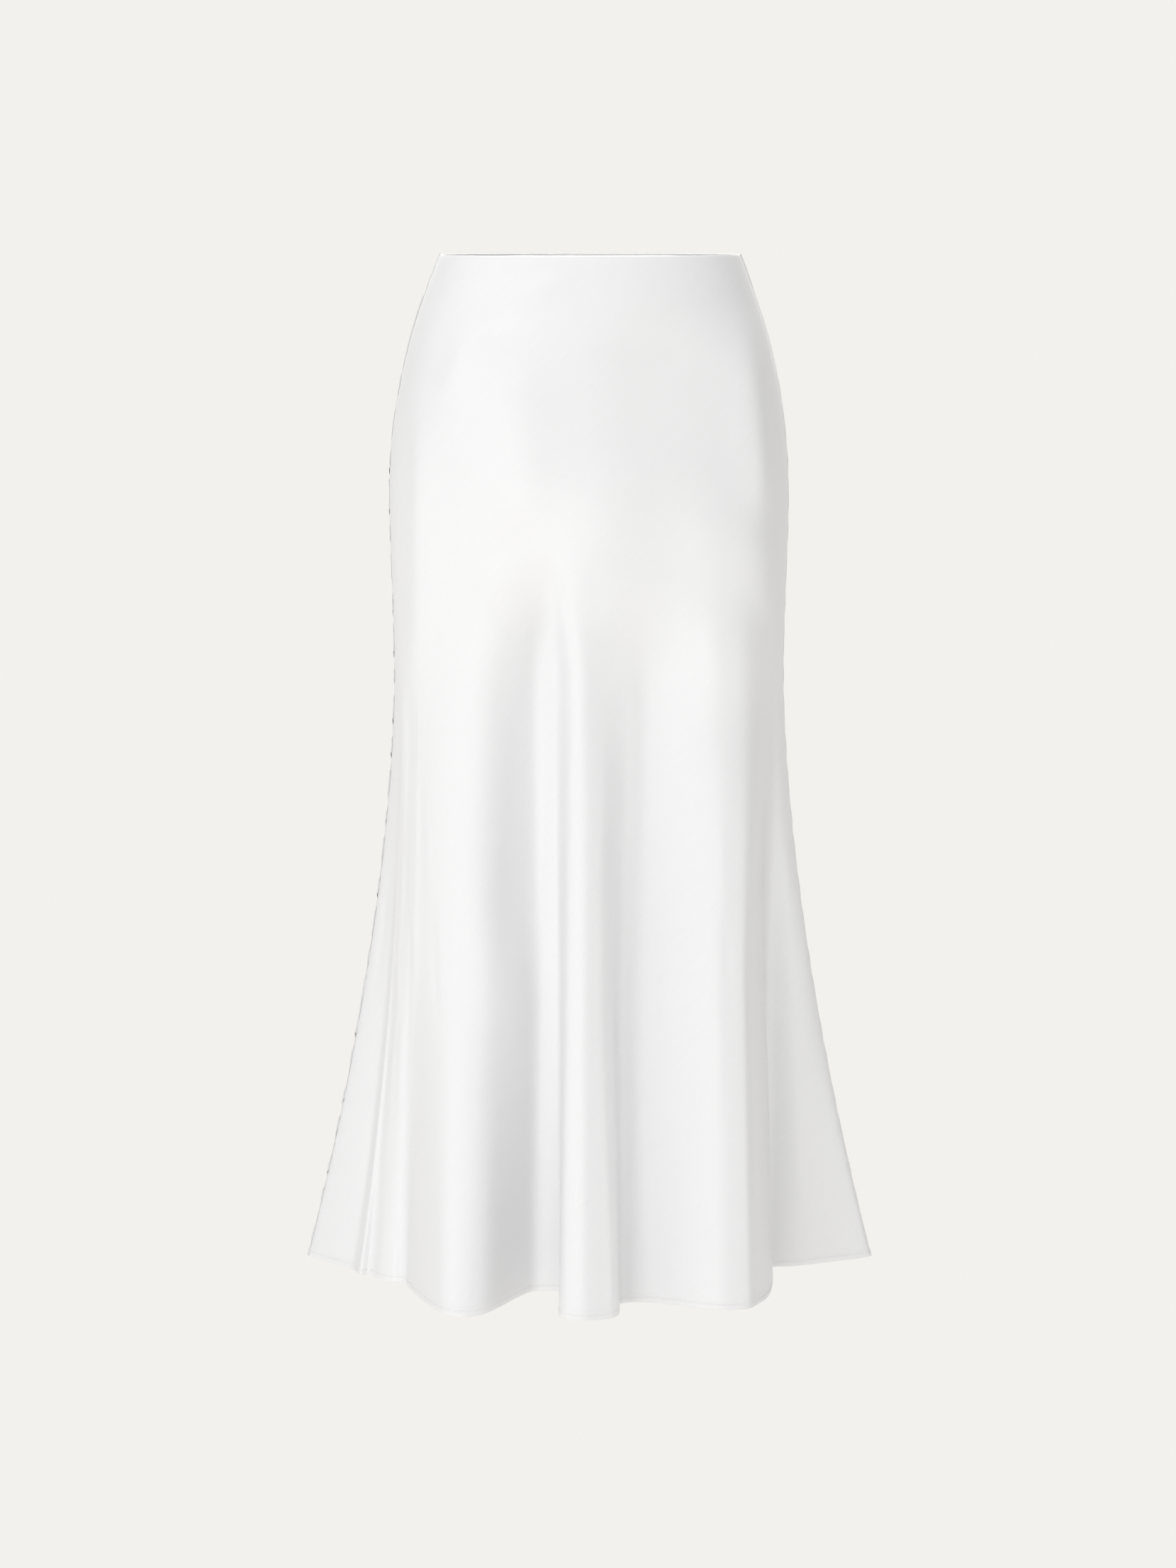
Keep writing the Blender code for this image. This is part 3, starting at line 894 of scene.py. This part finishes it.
@dataclass(frozen=True)
class Cloth:
    """The satin all round, as one finely divided ring with its creases pressed in.

    Sizes are in metres. columns and body_rows divide each panel. Columns crowd where the hem
    bends, by bend_pull for each radian, and stand beside_seam from a seam. The other rows
    stand waist_rows below the top edge, turn_rows from the hem's turned edge, seam_rows from
    its stitching and edge_rows above its foot. The hem is turned up twice, and its layers
    stand proud of the face by hem_proud. hem_seam is the height of its stitching, which sinks
    a groove. Both edges roll in, and the cloth puckers along the side seams and the hem.
    """

    form: SkirtForm
    columns: int = 300
    body_rows: int = 146
    bend_pull: float = 0.018
    fine_steps: int = 6000
    beside_seam: tuple[float, ...] = (0.0008, 0.0022)
    waist_rows: tuple[float, ...] = (0.0, 0.0003, 0.0009, 0.0018, 0.004, 0.008)
    body_from: float = 0.012
    body_clear: float = 0.004
    turn_rows: tuple[float, ...] = (-0.0012, -0.0004, 0.0004)
    seam_rows: tuple[float, ...] = (-0.0009, -0.0004, 0.0004, 0.0009)
    edge_rows: tuple[float, ...] = (0.0016, 0.0008, 0.0003, 0.0)
    wall: float = 0.0005
    waist_wall: float = 0.0010
    waist_turn: float = 0.027
    waist_slope: float = 0.002
    hem_wall: float = 0.0014
    hem_turn: float = 0.0065
    hem_slope: float = 0.0016
    hem_proud: float = 0.0003
    hem_seam: float = 0.0043
    stitch_sink: float = 0.0002
    stitch_groove: float = 0.0006
    edge_roll: float = 0.0004
    roll_reach: float = 0.0012
    seam_ripple: Ripple = Ripple(0.0046, 0.0031, share=0.6, phase=1.7)
    seam_pucker: float = 0.0003
    seam_reach: float = 0.012
    seam_sink: float = 0.00015
    seam_groove: float = 0.0012
    pucker_from: float = 0.06
    pucker_fade: float = 0.1
    pucker_end: float = 0.02
    hem_ripple: Ripple = Ripple(0.0021, 0.0034, share=0.5, phase=0.8)
    hem_pucker: float = 0.00012
    hem_reach: float = 0.009

    def panel_columns(self, start: float, end: float) -> np.ndarray:
        """Shares out columns between two side seams, closer where the hem bends.

        Args:
            start: The first seam's place along the hem line.
            end: The second seam's place.

        Returns:
            The places, with both seams' own and two close beside each.
        """
        places = np.linspace(start, end, self.fine_steps)
        steps = np.diff(self.form.hem.at(places), axis=0)
        lengths = np.linalg.norm(steps, axis=1)
        turns = np.abs(np.gradient(np.unwrap(np.arctan2(*steps.T))))
        share = np.append(0.0, np.cumsum(lengths + self.bend_pull * turns))
        distance = np.append(0.0, np.cumsum(lengths))
        near = np.interp(self.beside_seam, distance, places)
        far = np.interp(distance[-1] - np.array(self.beside_seam[::-1]), distance, places)
        count = self.columns + 1 - 2 * len(self.beside_seam)
        middle = np.interp(np.linspace(0, share[-1], count)[1:-1], share, places)
        return np.concatenate([[start], near, middle, far, [end]])

    def ring(self) -> tuple[np.ndarray, int]:
        """Sets out the columns all round.

        Returns:
            Their places from the left seam on, and how many are the front panel's.
        """
        hem = self.form.hem
        left, right = hem.middles[LEFT_SEAM], hem.middles[RIGHT_SEAM]
        front = self.panel_columns(left, right)
        back = self.panel_columns(right, left + hem.period)
        return np.concatenate([front[:-1], back[:-1]]), len(front) - 1

    def depths(self) -> np.ndarray:
        """Sets out the rows.

        Returns:
            The depth of each below the top edge.
        """
        turned, seam = DROP - self.hem_turn, DROP - self.hem_seam
        body = np.linspace(self.body_from, turned - self.body_clear, self.body_rows)
        hem = [turned + np.array(self.turn_rows), seam + np.array(self.seam_rows)]
        return np.concatenate([self.waist_rows, body, *hem, DROP - np.array(self.edge_rows)])

    def pressed(self, surface: np.ndarray, below: np.ndarray, front_count: int) -> np.ndarray:
        """Presses creases, seam puckers and hem puckers into the face.

        Args:
            surface: The plain face, (rows, columns, 3).
            below: The depth of each row.
            front_count: How many columns the front panel has before the right seam.

        Returns:
            The creased face.
        """
        normals = outward(surface)
        lift = np.zeros(surface.shape[:2])
        for crease in CREASES:
            lift += crease.offsets(surface, normals, below)
        fade = smooth((below - self.pucker_from) / self.pucker_fade)
        fade = fade * smooth((DROP - below) / self.pucker_end)
        puckers = self.seam_pucker * (self.seam_ripple.at(below) * fade)[:, None]
        for seam in (0, front_count):
            away = np.linalg.norm(surface - surface[:, seam:seam + 1], axis=-1)
            lift += puckers * np.exp(-(away / self.seam_reach) ** 2)
            lift -= self.seam_sink * np.exp(-(away / self.seam_groove) ** 2)
        steps = np.diff(surface[-1], axis=0, append=surface[-1, :1])
        around = np.cumsum(np.linalg.norm(steps, axis=-1))
        near_hem = np.exp(-((DROP - below) / self.hem_reach) ** 2)
        lift += self.hem_pucker * near_hem[:, None] * self.hem_ripple.at(around)
        return surface + normals * lift[..., None]

    def layers(self, below: np.ndarray) -> tuple[np.ndarray, np.ndarray]:
        """Works out how the turned edges stand.

        Args:
            below: The depth of each row.

        Returns:
            How far each row stands proud of the face, and the wall's thickness there.
        """
        above_edge = DROP - below
        in_hem = smooth((self.hem_turn + self.hem_slope / 2 - above_edge) / self.hem_slope)
        in_waist = 1 - smooth((below - self.waist_turn) / self.waist_slope)
        groove = np.exp(-((above_edge - self.hem_seam) / self.stitch_groove) ** 2)
        near_edge = np.minimum(above_edge, below)
        rolled = self.edge_roll * np.clip(1 - near_edge / self.roll_reach, 0, 1) ** 2
        proud = self.hem_proud * in_hem - self.stitch_sink * groove - rolled
        turns = (self.waist_wall - self.wall) * in_waist + (self.hem_wall - self.wall) * in_hem
        thick = self.wall + turns - rolled
        return proud, thick


@dataclass
class WornCloth:
    """The satin's grids once they are worked out: its face, its reverse and its normals."""

    outer: np.ndarray
    inner: np.ndarray
    normals: np.ndarray
    below: np.ndarray
    front_count: int

    @classmethod
    def from_cloth(cls, cloth: Cloth) -> "WornCloth":
        """Works the grids out.

        Args:
            cloth: The cloth's form and sizes.

        Returns:
            The grids.
        """
        places, front_count = cloth.ring()
        below = cloth.depths()
        face = cloth.pressed(cloth.form.surface(places, below), below, front_count)
        normals = outward(face)
        proud, thick = cloth.layers(below)
        outer = face + normals * proud[:, None, None]
        inner = outer - normals * thick[:, None, None]
        return cls(outer, inner, normals, below, front_count)


class Side(Enum):
    """Which panel of the skirt."""

    FRONT = "front"
    BACK = "back"


@dataclass(frozen=True)
class SkirtPanel:
    """One bias-cut panel, from side seam to side seam and from the waist's edge to the hem.

    flat is the width and length of the piece of cloth that it is cut from, cut_area the area
    of the cut itself, and seam_gap what parts it from the other panel.
    """

    side: Side
    worn: WornCloth
    flat: tuple[float, float] = (0.93, 0.85)
    cut_area: float = 0.46
    seam_gap: float = 0.0003

    def columns(self) -> np.ndarray:
        """Picks the panel's columns out of the ring.

        Returns:
            Their numbers, with both seams' own.
        """
        total, middle = self.worn.outer.shape[1], self.worn.front_count
        first, last = (0, middle) if self.side is Side.FRONT else (middle, total)
        return np.arange(first, last + 1) % total

    def drawn_back(self, grid: np.ndarray) -> np.ndarray:
        """Draws the panel's side edges back by half the seam's gap.

        Args:
            grid: The panel's points, (rows, columns, 3).

        Returns:
            The points with both edges drawn back.
        """
        grid = grid.copy()
        for edge, inside in ((0, 1), (-1, -2)):
            pull = grid[:, inside] - grid[:, edge]
            pull /= np.linalg.norm(pull, axis=-1, keepdims=True)
            grid[:, edge] += pull * self.seam_gap / 2
        return grid

    def mesh(self, face: Material, reverse: Material) -> Object:
        """Makes the panel.

        Args:
            face: The satin's face.
            reverse: Its reverse.

        Returns:
            The panel's wall.
        """
        chosen = self.columns()
        outer = self.drawn_back(self.worn.outer[:, chosen])
        inner = self.drawn_back(self.worn.inner[:, chosen])
        made = wall_object(f"satin_{self.side.value}", outer, inner, False, [face, reverse])
        map_cloth(made, outer)
        return made

    def dress(self, made: Object, hangs_from: Object) -> None:
        """Hands the panel over to the frame.

        Args:
            made: The panel's wall.
            hangs_from: The piece that carries it. Not used.
        """
        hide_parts(f"{self.side.value}_panel")
        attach(made, "root")


@dataclass(frozen=True)
class SeamAllowances:
    """The two side seams' allowances, closed in and pressed to the back, inside.

    A strip lies clear of its panel by a little and runs from from_depth to to_depth. It is
    read from as many of the ring's columns as ring_columns says, into its own.
    """

    worn: WornCloth
    width: float = 0.006
    thick: float = 0.0008
    clear: float = 0.0001
    from_depth: float = 0.030
    to_depth: float = 0.8155
    ring_columns: int = 12
    columns: int = 5

    def mesh(self, face: Material) -> list[Object]:
        """Makes the strips.

        Args:
            face: The satin's side that shows on them.

        Returns:
            One for each side seam.
        """
        made = []
        total = self.worn.inner.shape[1]
        chosen = (self.worn.below >= self.from_depth) & (self.worn.below <= self.to_depth)
        wanted = np.linspace(0, self.width, self.columns)
        for name, seam, step in (("seam_left", 0, -1), ("seam_right", self.worn.front_count, 1)):
            columns = (seam + step * np.arange(self.ring_columns)) % total
            inside = self.worn.inner[chosen][:, columns]
            normals = self.worn.normals[chosen][:, columns]
            read = np.array([
                [np.interp(wanted, distance, values) for values in row.T]
                for distance, row in zip(walked(inside, 1), np.dstack([inside, normals]))
            ]).transpose(0, 2, 1)
            grid, lean = read[..., :3], read[..., 3:]
            outer = grid - lean * self.clear
            inner = outer - lean * self.thick
            if step < 0:
                outer, inner = outer[:, ::-1], inner[:, ::-1]
            strip = wall_object(name, outer, inner, False, [face])
            map_cloth(strip, outer)
            made.append(strip)
        return made

    def dress(self, strips: list[Object]) -> None:
        """Hands the strips over to the frame.

        Args:
            strips: Both strips.
        """
        for strip in strips:
            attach(strip, "root")


@dataclass(frozen=True)
class PathRepeat:
    """A small shape that repeats along a path on the cloth, made by Geometry Nodes.

    The path is a line of points, each with the direction away from the cloth. half_length and
    rise shape one thread arc, radius is the thread's, and pitch is from one to the next. Where
    upright is set, the arc stands across the path instead of along it.
    """

    name: str
    half_length: float
    rise: float
    radius: float
    pitch: float
    upright: bool = False
    arc_steps: int = 4
    ring_steps: int = 6

    def tree(self) -> tuple[NodeTree, dict[str, str]]:
        """Builds the node tree.

        Returns:
            The tree, and the identifier of each of its inputs by name.
        """
        tree = bpy.data.node_groups.new(self.name, "GeometryNodeTree")
        tree.interface.new_socket("Path", in_out="INPUT", socket_type="NodeSocketGeometry")
        idents = {}
        floats = [(label, "Float") for label in ("Half length", "Rise", "Radius", "Pitch")]
        for label, kind in (*floats, ("Finish", "Material")):
            socket = tree.interface.new_socket(
                label, in_out="INPUT", socket_type=f"NodeSocket{kind}"
            )
            idents[label] = socket.identifier
        tree.interface.new_socket("Pieces", in_out="OUTPUT", socket_type="NodeSocketGeometry")
        given = add_node(tree, "NodeGroupInput").outputs
        line = add_node(tree, "GeometryNodeMeshToCurve", {"Mesh": given["Path"]})
        spaced = add_node(
            tree, "GeometryNodeResampleCurve",
            {"Curve": line.outputs["Curve"], "Length": given["Pitch"]}, mode="LENGTH",
        )
        out = add_node(
            tree, "GeometryNodeInputNamedAttribute", values={"Name": "out"},
            data_type="FLOAT_VECTOR",
        )
        along = add_node(tree, "GeometryNodeInputTangent")
        turn = add_node(
            tree, "FunctionNodeAxesToRotation",
            {"Primary Axis": out.outputs["Attribute"], "Secondary Axis": along.outputs["Tangent"]},
            primary_axis="Z", secondary_axis="Y" if self.upright else "X",
        )
        back = add_node(
            tree, "ShaderNodeMath", {0: given["Half length"]}, {1: -1.0}, operation="MULTIPLY"
        )
        start = add_node(tree, "ShaderNodeCombineXYZ", {"X": back.outputs[0]})
        top = add_node(tree, "ShaderNodeCombineXYZ", {"Z": given["Rise"]})
        end = add_node(tree, "ShaderNodeCombineXYZ", {"X": given["Half length"]})
        arc = add_node(
            tree, "GeometryNodeCurveQuadraticBezier",
            {"Start": start.outputs[0], "Middle": top.outputs[0], "End": end.outputs[0]},
            {"Resolution": self.arc_steps},
        )
        ring = add_node(
            tree, "GeometryNodeCurvePrimitiveCircle", {"Radius": given["Radius"]},
            {"Resolution": self.ring_steps},
        )
        thread = add_node(
            tree, "GeometryNodeCurveToMesh",
            {"Curve": arc.outputs["Curve"], "Profile Curve": ring.outputs["Curve"]},
            {"Fill Caps": True},
        )
        pieces = add_node(
            tree, "GeometryNodeInstanceOnPoints",
            {"Points": spaced.outputs["Curve"], "Instance": thread.outputs["Mesh"],
             "Rotation": turn.outputs["Rotation"]},
        )
        real = add_node(
            tree, "GeometryNodeRealizeInstances", {"Geometry": pieces.outputs["Instances"]}
        )
        dressed = add_node(
            tree, "GeometryNodeSetMaterial",
            {"Geometry": real.outputs["Geometry"], "Material": given["Finish"]},
        )
        add_node(tree, "NodeGroupOutput", {"Pieces": dressed.outputs["Geometry"]})
        return tree, idents

    def along(self, points: np.ndarray, out: np.ndarray, finish: Material) -> Object:
        """Lays the shapes along a closed path.

        Args:
            points: The path, (count, 3).
            out: The direction away from the cloth at each point.
            finish: The shapes' material.

        Returns:
            A plain mesh object.
        """
        data = bpy.data.meshes.new(f"{self.name}_path")
        count = len(points)
        data.from_pydata(points.tolist(), [(i, (i + 1) % count) for i in range(count)], [])
        attribute = data.attributes.new("out", "FLOAT_VECTOR", "POINT")
        attribute.data.foreach_set("vector", out.astype(np.float32).ravel())
        carrier = put(f"{self.name}_carrier", data)
        tree, idents = self.tree()
        modifier = carrier.modifiers.new("pieces", "NODES")
        modifier.node_group = tree
        inputs = {
            "Half length": self.half_length, "Rise": self.rise, "Radius": self.radius,
            "Pitch": self.pitch, "Finish": finish,
        }
        for label, value in inputs.items():
            modifier[idents[label]] = value
        graph = bpy.context.evaluated_depsgraph_get()
        mesh = bpy.data.meshes.new_from_object(carrier.evaluated_get(graph))
        mesh.name = self.name
        bpy.data.objects.remove(carrier, do_unlink=True)
        bpy.data.node_groups.remove(tree)
        mesh.shade_smooth()
        return put(self.name, mesh)


@dataclass(frozen=True)
class WaistElastic:
    """The elastic tape that lies against the inside of the waist, with its crosswise ribs.

    edge_share is the share of its thickness that its edges keep, rib_inset how far its ribs
    end from its edges, and rib_sink how far they sink in, as a share of their radius.
    """

    form: SkirtForm
    below_top: float = 0.0015
    height: float = 0.025
    thick: float = 0.0012
    behind_face: float = 0.0013
    rows: int = 13
    columns: int = 360
    edge_share: float = 0.45
    flat_length: float = 0.675
    rib_radius: float = 0.0004
    rib_pitch: float = 0.0019
    rib_inset: float = 0.0012
    rib_sink: float = 0.4

    def grids(self) -> tuple[np.ndarray, np.ndarray, np.ndarray]:
        """Works out the tape's form.

        Returns:
            Its outer grid, its inner grid and its normals, each (rows, columns, 3).
        """
        hem = self.form.hem
        left = hem.middles[LEFT_SEAM]
        places = np.linspace(left, left + hem.period, self.columns, endpoint=False)
        below = self.below_top + np.linspace(0, self.height, self.rows)
        face = self.form.surface(places, below)
        normals = outward(face)
        edge = np.minimum(np.arange(self.rows), np.arange(self.rows)[::-1])
        thin = np.where(edge == 0, self.edge_share, 1.0)[:, None, None] * self.thick / 2
        middle = face - normals * (self.behind_face + self.thick / 2)
        return middle + normals * thin, middle - normals * thin, normals

    def mesh(self, finish: Material) -> tuple[Object, Object]:
        """Makes the tape and its ribs.

        Args:
            finish: The material of both.

        Returns:
            The tape and the ribs.
        """
        outer, inner, normals = self.grids()
        tape = wall_object("elastic_tape", outer, inner, True, [finish])
        middle = self.rows // 2
        half = self.height / 2 - self.rib_inset
        ribs = PathRepeat("elastic_ribs", half, 0.0, self.rib_radius, self.rib_pitch, upright=True)
        sunk = inner[middle] + normals[middle] * self.rib_radius * self.rib_sink
        return tape, ribs.along(sunk, -normals[middle], finish)

    def dress(self, tape: Object, ribs: Object) -> None:
        """Hands the elastic over to the frame.

        Args:
            tape: The tape.
            ribs: Its ribs.
        """
        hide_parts("waist_elastic")
        for piece in (tape, ribs):
            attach(piece, "root")


@dataclass(frozen=True)
class Stitching:
    """The rows of stitches: round the hem, and through the elastic inside the waist.

    arch is how high a stitch rises and lift how high it starts, both in its radii. over_ribs
    is how high it starts over the elastic, in the ribs' radii.
    """

    cloth: Cloth
    worn: WornCloth
    elastic: WaistElastic
    length: float = 0.0021
    pitch: float = 0.0027
    radius: float = 0.00014
    waist_inset: float = 0.003
    arch: float = 1.6
    lift: float = 0.2
    over_ribs: float = 0.6

    def row(self, name: str) -> PathRepeat:
        """Returns one row's stitch, arched a little off the cloth."""
        return PathRepeat(name, self.length / 2, self.radius * self.arch, self.radius, self.pitch)

    def mesh(self, finish: Material) -> list[Object]:
        """Makes the rows of stitches.

        Args:
            finish: The thread's material.

        Returns:
            The hem's row on each side of the cloth, and the waist's two.
        """
        made = []
        depth = DROP - self.cloth.hem_seam
        lower = int(np.searchsorted(self.worn.below, depth))
        above, under = self.worn.below[lower - 1:lower + 1]
        share = (depth - above) / (under - above)
        faces = ("hem_stitches", self.worn.outer, 1), ("hem_stitches_inside", self.worn.inner, -1)
        for name, grid, sign in faces:
            line = grid[lower - 1] * (1 - share) + grid[lower] * share
            out = self.worn.normals[lower] * sign
            made.append(self.row(name).along(line + out * self.radius * self.lift, out, finish))
        _, inner, normals = self.elastic.grids()
        step = self.elastic.height / (self.elastic.rows - 1)
        inset = round(self.waist_inset / step)
        for name, index in (("waist_stitches_top", inset), ("waist_stitches_foot", -1 - inset)):
            out = -normals[index]
            start = inner[index] + out * self.elastic.rib_radius * self.over_ribs
            made.append(self.row(name).along(start, out, finish))
        return made

    def dress(self, rows: list[Object]) -> None:
        """Hands the stitches over to the frame.

        Args:
            rows: The rows of stitches.
        """
        for row in rows:
            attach(row, "root")


# The studio.


@dataclass(frozen=True)
class SoftLight:
    """A square soft light, aimed at the middle of the skirt from a bearing and an elevation."""

    name: str
    bearing: float
    elevation: float
    watts: float
    size: float = 1.6
    distance: float = 2.2
    aim: tuple[float, float, float] = (0.0, 0.0, -0.40)

    def build(self) -> Object:
        """Places the light.

        Returns:
            The light.
        """
        data = bpy.data.lights.new(self.name, "AREA")
        data.energy, data.shape, data.size = self.watts, "SQUARE", self.size
        made = put(self.name, data)
        plan = direction(self.bearing) * math.cos(math.radians(self.elevation))
        away = Vector((plan[0], plan[1], math.sin(math.radians(self.elevation))))
        made.location = Vector(self.aim) + away * self.distance
        made.rotation_euler = (-away).to_track_quat("-Z", "Y").to_euler()
        return made


LIGHTS = (
    SoftLight("overhead", 0, 85, 37.0),
    SoftLight("low_front_fill", -12, -12, 25.5),
    SoftLight("front_fill", -12, 30, 4.0),
    SoftLight("low_middle_fill", 25, -12, 3.5),
    SoftLight("low_right_fill", 70, -12, 21.0),
    SoftLight("left_strip", -50, 8, 12.0),
    SoftLight("left_high", -50, 30, 2.5),
    SoftLight("left_rim", -90, 8, 4.0),
    SoftLight("left_edge", -90, -12, 6.0),
    SoftLight("back", 180, 25, 14.0),
    SoftLight("inside_waist", 0, 60, 0.25, size=0.06, distance=0.16, aim=(0.0, 0.05, 0.0)),
)


@dataclass(frozen=True)
class Studio:
    """The pale floor that sweeps up behind the skirt, the soft lights and the camera.

    floor is the floor's height, wide its half width, near and far its reach towards the camera
    and away from it, bend the radius of its sweep and high the height of its upper edge.
    """

    floor: float = -1.05
    wide: float = 5.0
    near: float = 5.0
    far: float = 3.0
    bend: float = 1.2
    bend_steps: int = 17
    high: float = 4.0
    camera_at: tuple[float, float, float] = (-0.0008, -3.6, 0.097)
    camera_down: float = 8.1
    lens: float = 102.5
    sensor: float = 36.0
    world_tone: str = "#FFFFFF"
    world_strength: float = 0.01

    def backdrop(self) -> Object:
        """Makes the floor and backdrop as one sheet of paper.

        Returns:
            The sheet.
        """
        profile = [(-self.near, self.floor)]
        for turn in np.linspace(0, math.pi / 2, self.bend_steps):
            out, up = self.bend * math.sin(turn), self.bend * (1 - math.cos(turn))
            profile.append((self.far + out, self.floor + up))
        profile.append((self.far + self.bend, self.high))
        points = np.array([(x, y, z) for y, z in profile for x in (-self.wide, self.wide)])
        faces = [(2 * i, 2 * i + 1, 2 * i + 3, 2 * i + 2) for i in range(len(profile) - 1)]
        return mesh_object("studio_sweep", points, faces, [StudioPaper().build()])

    def build(self) -> None:
        """Sets up the backdrop, lights, world and camera."""
        self.backdrop()
        for light in LIGHTS:
            light.build()
        scene = bpy.context.scene
        world = bpy.data.worlds.new("studio")
        world.use_nodes = True
        sky = world.node_tree.nodes["Background"]
        sky.inputs["Color"].default_value = linear(self.world_tone)
        sky.inputs["Strength"].default_value = self.world_strength
        scene.world = world
        data = bpy.data.cameras.new("camera")
        data.lens, data.sensor_width = self.lens, self.sensor
        camera = put("camera", data)
        camera.location = self.camera_at
        camera.rotation_euler = (math.radians(90 - self.camera_down), 0, 0)
        scene.camera = camera
        scene.view_settings.view_transform = "Standard"


def main() -> None:
    """Builds the skirt's pieces and the studio, and reports each piece."""
    logging.basicConfig(level=logging.INFO, format="%(name)s: %(message)s")
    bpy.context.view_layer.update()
    Studio().build()
    form = SkirtForm(HemLine())
    cloth = Cloth(form)
    worn = WornCloth.from_cloth(cloth)
    face = Satin("satin_face").build()
    reverse = Satin(
        "satin_reverse", thread="#E5E5E6", shaded_thread="#DEDEDF", roughness=0.6
    ).build()
    thread = SewingThread().build()

    elastic = WaistElastic(form)
    tape, ribs = elastic.mesh(WovenElastic().build())
    elastic.dress(tape, ribs)

    pieces = [tape, ribs]
    for side in Side:
        panel = SkirtPanel(side, worn)
        made = panel.mesh(face, reverse)
        panel.dress(made, tape)
        pieces.append(made)
    allowances = SeamAllowances(worn)
    strips = allowances.mesh(reverse)
    allowances.dress(strips)
    stitching = Stitching(cloth, worn, elastic)
    rows = stitching.mesh(thread)
    stitching.dress(rows)
    pieces += [*strips, *rows]

    for piece in pieces:
        piece.data.calc_loop_triangles()
        LOG.info("%s: %d triangles", piece.name, len(piece.data.loop_triangles))


if __name__ == "__main__":
    main()
